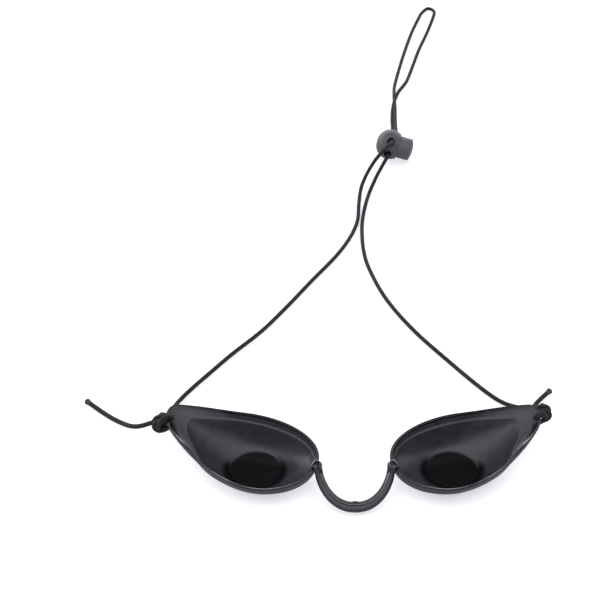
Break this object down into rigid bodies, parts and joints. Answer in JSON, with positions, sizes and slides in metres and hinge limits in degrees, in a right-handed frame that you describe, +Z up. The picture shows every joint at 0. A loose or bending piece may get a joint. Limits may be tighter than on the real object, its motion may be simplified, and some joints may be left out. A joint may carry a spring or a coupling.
{
  "type": "light therapy goggles",
  "caption": "Opaque eye shield goggles with moulded eye cups, a soft nose bridge and an elastic head cord with a sprung cord lock.",
  "frame": {"origin": "on the surface that the goggles lie on, midway between the flat discs under the eye cups and 1.6 mm to the cheek side of the line through their centres", "axes": "+Z up, out of the cups' open face side; +Y to the brow side, where the cord runs; +X from the left cup to the right cup as seen from the cheek side"},
  "size_m": [0.2197, 0.425, 0.0201],
  "materials": {
    "cup": "glossy, lightly mottled inside",
    "bridge": "satin",
    "cord": "fine braid",
    "lock": "fine grain",
    "button": "fine grain",
    "spring": "drawn wire"
  },
  "bodies": {
    "goggles": {"eye_cup_left": "cup", "eye_cup_right": "cup", "nose_bridge": "bridge", "cord_strand_left": "cord", "cord_run_out": "cord", "cord_loop": "cord", "cord_run_back": "cord", "cord_strand_right": "cord", "cord_knot_left": "cord", "cord_knot_right": "cord", "cord_tail_left": "cord", "cord_tail_right": "cord"},
    "lock": {"lock_body": "lock", "lock_spring": "spring"},
    "button": {"lock_button": "button"}
  },
  "joints": [
    {"name": "lock_slide", "type": "slide", "parent": "goggles", "child": "lock", "axis": [0.1632, 0.9254, -0.342], "range_m": [0, 0.006]},
    {"name": "button_press", "type": "slide", "parent": "lock", "child": "button", "axis": [-0.9595, 0.2295, 0.1632], "range_m": [0, 0.0022], "stiffness_N_per_m": 600, "springref_m": -0.004, "deforming": ["lock_spring"]}
  ]
}
